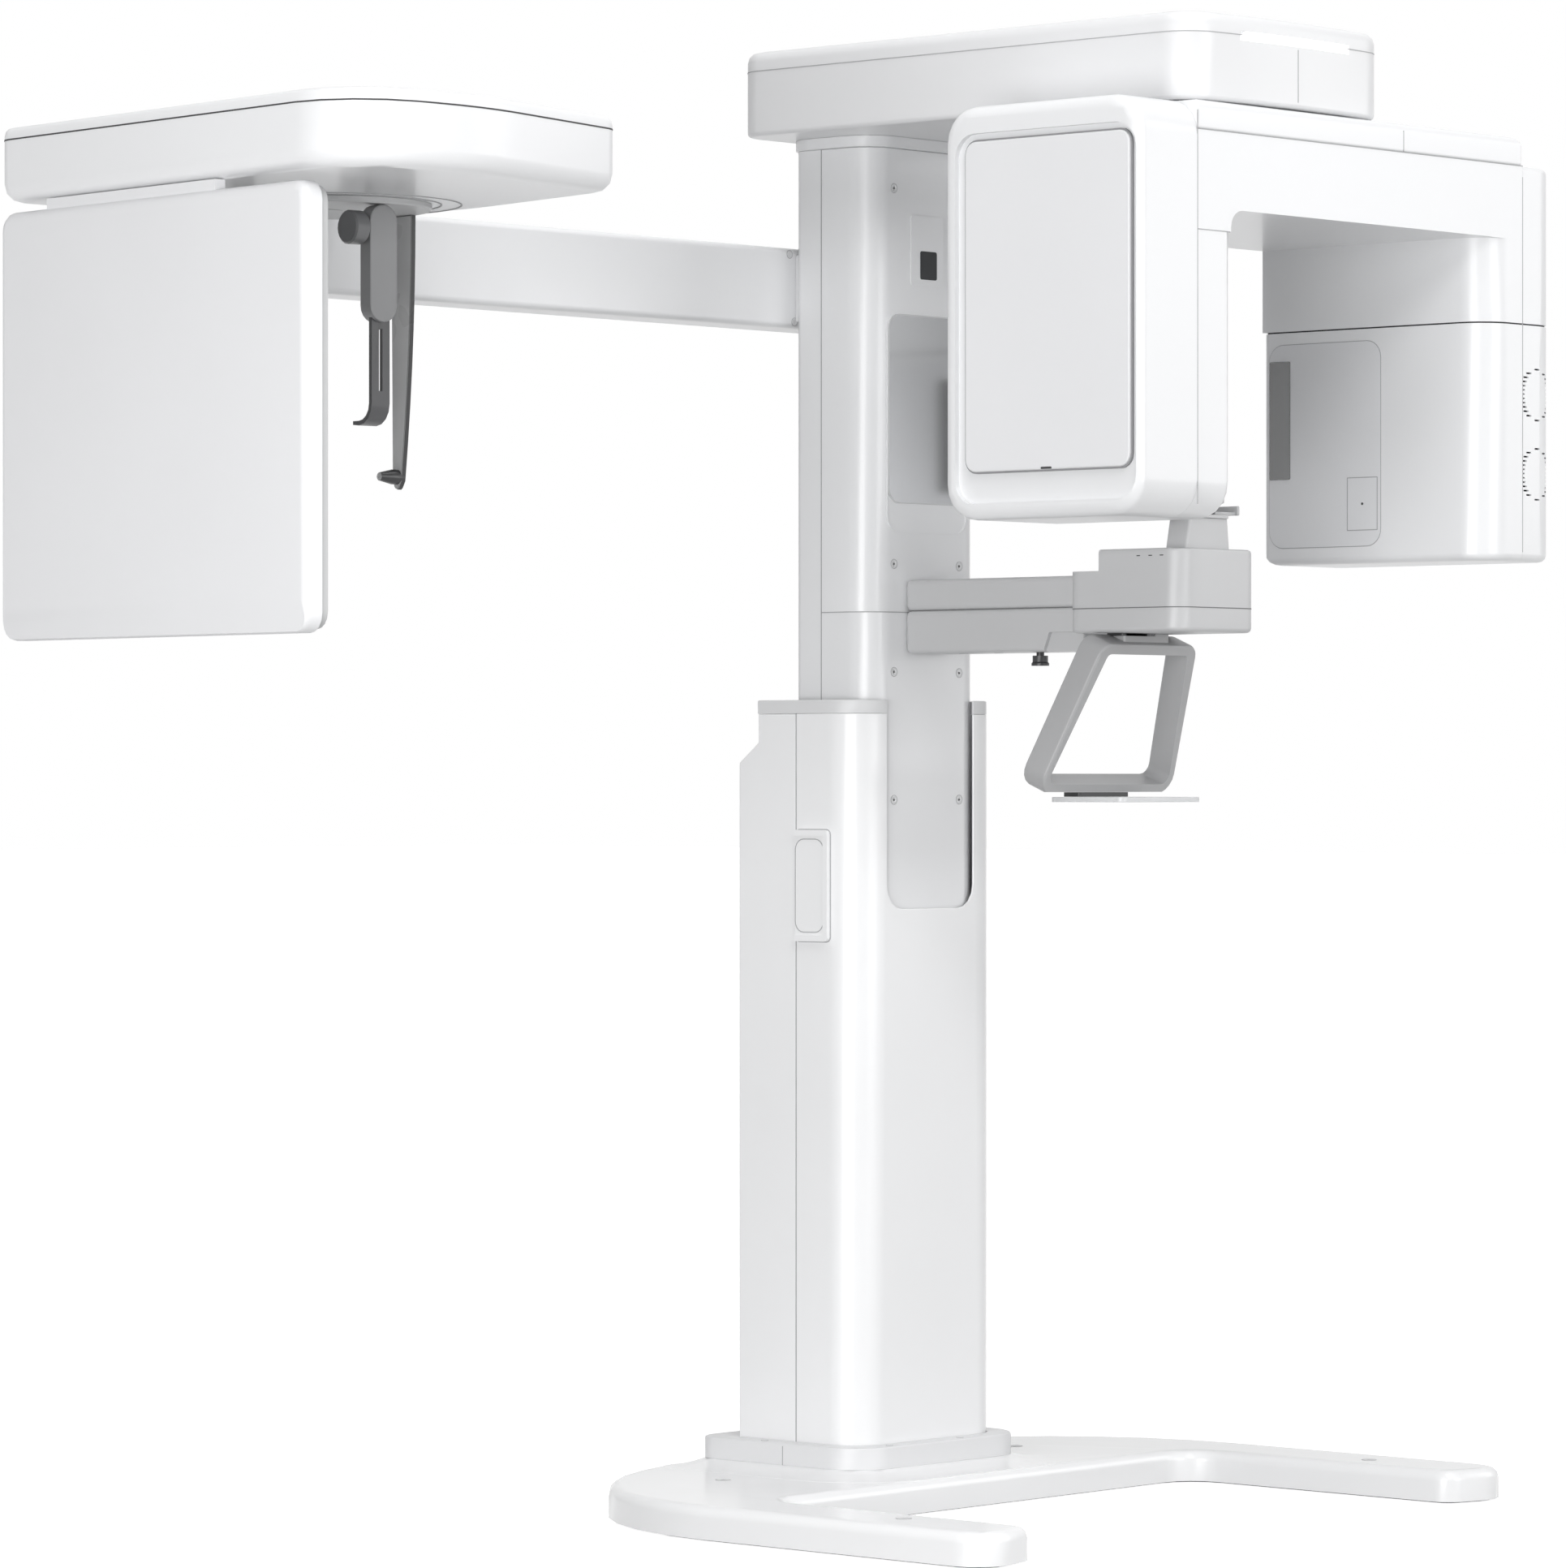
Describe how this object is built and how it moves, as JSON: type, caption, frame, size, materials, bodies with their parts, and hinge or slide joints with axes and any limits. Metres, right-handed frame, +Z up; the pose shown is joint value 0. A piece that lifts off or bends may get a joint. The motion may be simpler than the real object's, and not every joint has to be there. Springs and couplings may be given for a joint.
{
  "type": "panoramic xray machine",
  "caption": "Dental panoramic x-ray machine on a floor stand, with a lifting column, a turning C-arm, a chin support, hand grip and a side cephalometric arm.",
  "frame": {"origin": "on the floor, on the vertical axis of the column", "axes": "+Z up; -Y towards the patient side, where the C-arm is; -X towards the cephalometric arm"},
  "size_m": [1.991, 0.923, 1.889],
  "materials": {
    "base_plate": "dark painted steel",
    "base_cover": "satin white moulded plastic",
    "base_collar": "satin white moulded plastic",
    "casing_front": "satin white moulded plastic",
    "casing_rear": "satin white moulded plastic",
    "casing_rim": "light grey moulded plastic",
    "side_grip": "satin white moulded plastic",
    "fixed_mast": "extruded aluminium",
    "power_panel": "near-black plastic",
    "power_rocker": "near-black plastic",
    "column_frame": "extruded aluminium",
    "column_rear_cover": "satin white moulded plastic",
    "column_upper_cover": "satin white moulded plastic",
    "column_lower_cover": "satin white moulded plastic",
    "column_mirror": "glass mirror",
    "label_plate": "satin white moulded plastic",
    "neck_plate": "satin white moulded plastic",
    "top_shell": "satin white moulded plastic",
    "top_cover": "satin white moulded plastic",
    "light_bar": "translucent white light strip",
    "chin_arm_lower": "light grey moulded plastic",
    "chin_arm_upper": "light grey moulded plastic",
    "chin_head_lower": "light grey moulded plastic",
    "chin_head_upper": "light grey moulded plastic",
    "chin_post": "light grey moulded plastic",
    "chin_cup": "light grey moulded plastic",
    "handle_loop": "mid grey moulded plastic",
    "tray_clamp": "near-black plastic",
    "tray_plate": "clear acrylic",
    "ceph_bracket": "plain machined steel",
    "ceph_arm": "satin white moulded plastic",
    "ceph_shell": "satin white moulded plastic",
    "ceph_cover": "satin white moulded plastic",
    "panel_shell": "satin white moulded plastic",
    "panel_face": "light grey moulded plastic",
    "estop_knob": "near-black plastic",
    "temple_left": "light grey moulded plastic",
    "temple_right": "light grey moulded plastic",
    "carriage_plate": "extruded aluminium",
    "drive_motor": "near-black plastic",
    "motor_pinion": "plain machined steel",
    "rotor_spindle": "plain machined steel",
    "bridge_shell": "satin white moulded plastic",
    "bridge_cover": "satin white moulded plastic",
    "detector_cover": "satin white moulded plastic",
    "detector_panel": "satin white moulded plastic",
    "detector_inner": "satin white moulded plastic",
    "generator_shell": "satin white moulded plastic",
    "generator_end_lower": "satin white moulded plastic",
    "generator_end_upper": "satin white moulded plastic",
    "collimator_window": "near-black plastic",
    "fan_upper": "near-black plastic",
    "fan_lower": "near-black plastic",
    "chuck_disc": "light grey moulded plastic",
    "ear_rod_left": "mid grey moulded plastic",
    "ear_rod_right": "mid grey moulded plastic",
    "nasion_block": "mid grey moulded plastic",
    "nasion_bar": "mid grey moulded plastic",
    "nasion_knob": "mid grey moulded plastic"
  },
  "bodies": {
    "base": {"base_plate": "base_plate", "base_cover": "base_cover", "base_collar": "base_collar", "casing_front": "casing_front", "casing_rear": "casing_rear", "casing_rim": "casing_rim", "side_grip": "side_grip", "fixed_mast": "fixed_mast", "power_panel": "power_panel"},
    "power_rocker": {"power_rocker": "power_rocker"},
    "column": {"column_frame": "column_frame", "column_rear_cover": "column_rear_cover", "column_upper_cover": "column_upper_cover", "column_lower_cover": "column_lower_cover", "column_mirror": "column_mirror", "label_plate": "label_plate", "neck_plate": "neck_plate", "top_shell": "top_shell", "top_cover": "top_cover", "light_bar": "light_bar", "chin_arm_lower": "chin_arm_lower", "chin_arm_upper": "chin_arm_upper", "chin_head_lower": "chin_head_lower", "chin_head_upper": "chin_head_upper", "chin_post": "chin_post", "chin_cup": "chin_cup", "handle_loop": "handle_loop", "tray_clamp": "tray_clamp", "tray_plate": "tray_plate", "ceph_bracket": "ceph_bracket", "ceph_arm": "ceph_arm", "ceph_shell": "ceph_shell", "ceph_cover": "ceph_cover", "panel_shell": "panel_shell", "panel_face": "panel_face"},
    "estop_knob": {"estop_knob": "estop_knob"},
    "temple_left": {"temple_left": "temple_left"},
    "temple_right": {"temple_right": "temple_right"},
    "carriage": {"carriage_plate": "carriage_plate", "drive_motor": "drive_motor"},
    "motor_pinion": {"motor_pinion": "motor_pinion"},
    "rotor": {"rotor_spindle": "rotor_spindle", "bridge_shell": "bridge_shell", "bridge_cover": "bridge_cover", "detector_cover": "detector_cover", "detector_panel": "detector_panel", "detector_inner": "detector_inner", "generator_shell": "generator_shell", "generator_end_lower": "generator_end_lower", "generator_end_upper": "generator_end_upper", "collimator_window": "collimator_window"},
    "fan_upper": {"fan_upper": "fan_upper"},
    "fan_lower": {"fan_lower": "fan_lower"},
    "chuck": {"chuck_disc": "chuck_disc"},
    "ear_rod_left": {"ear_rod_left": "ear_rod_left"},
    "ear_rod_right": {"ear_rod_right": "ear_rod_right"},
    "nasion_block": {"nasion_block": "nasion_block"},
    "nasion_bar": {"nasion_bar": "nasion_bar"},
    "nasion_knob": {"nasion_knob": "nasion_knob"}
  },
  "joints": [
    {"name": "column_lift", "type": "slide", "parent": "base", "child": "column", "axis": [0, 0, 1], "range_m": [-0.3, 0.4]},
    {"name": "power_switch", "type": "hinge", "parent": "base", "child": "power_rocker", "pos_m": [0.07, 0.1408, 0.205], "axis": [1, 0, 0], "range_deg": [-7, 7]},
    {"name": "chin_stop_press", "type": "slide", "parent": "column", "child": "estop_knob", "axis": [0, 0, 1], "range_m": [0, 0.004], "stiffness_N_per_m": 400},
    {"name": "temple_left_slide", "type": "slide", "parent": "column", "child": "temple_left", "axis": [1, 0, 0], "range_m": [-0.012, 0.004]},
    {"name": "temple_right_slide", "type": "slide", "parent": "column", "child": "temple_right", "axis": [1, 0, 0], "range_m": [-0.004, 0.012]},
    {"name": "carriage_shift", "type": "slide", "parent": "column", "child": "carriage", "axis": [0, 1, 0], "range_m": [-0.02, 0.02]},
    {"name": "arm_rotation", "type": "hinge", "parent": "carriage", "child": "rotor", "pos_m": [0, -0.51, 1.7755], "axis": [0, 0, 1], "range_deg": [-225, 45]},
    {"name": "pinion_spin", "type": "hinge", "parent": "carriage", "child": "motor_pinion", "pos_m": [0, -0.422, 1.812], "axis": [0, 0, 1], "range_deg": [-185, 905]},
    {"name": "fan_upper_spin", "type": "hinge", "parent": "rotor", "child": "fan_upper", "pos_m": [0.488, -0.672, 1.443], "axis": [0, 1, 0], "continuous": true},
    {"name": "fan_lower_spin", "type": "hinge", "parent": "rotor", "child": "fan_lower", "pos_m": [0.488, -0.672, 1.34], "axis": [0, 1, 0], "continuous": true},
    {"name": "head_holder_turn", "type": "hinge", "parent": "column", "child": "chuck", "pos_m": [-1.10569, -0.0814, 1.6167], "axis": [0, 0, 1], "range_deg": [-180, 180]},
    {"name": "ear_rod_left_slide", "type": "slide", "parent": "chuck", "child": "ear_rod_left", "axis": [0.9918, -0.1279, 0], "range_m": [0, 0.03]},
    {"name": "ear_rod_right_slide", "type": "slide", "parent": "chuck", "child": "ear_rod_right", "axis": [0.9918, -0.1279, 0], "range_m": [-0.03, 0]},
    {"name": "nose_rest_slide", "type": "slide", "parent": "chuck", "child": "nasion_block", "axis": [0.1279, 0.9918, 0], "range_m": [-0.005, 0.03]},
    {"name": "nose_bar_slide", "type": "slide", "parent": "nasion_block", "child": "nasion_bar", "axis": [0, 0, 1], "range_m": [-0.04, 0.005]},
    {"name": "nose_knob_turn", "type": "hinge", "parent": "nasion_block", "child": "nasion_knob", "pos_m": [-1.15115, -0.1814, 1.5884], "axis": [0.9918, -0.1279, 0], "range_deg": [-180, 180]}
  ],
  "couplings": [
    {"joint": "temple_right_slide", "follows": "temple_left_slide", "ratio": -1},
    {"joint": "ear_rod_right_slide", "follows": "ear_rod_left_slide", "ratio": -1},
    {"joint": "pinion_spin", "follows": "arm_rotation", "ratio": -4}
  ]
}
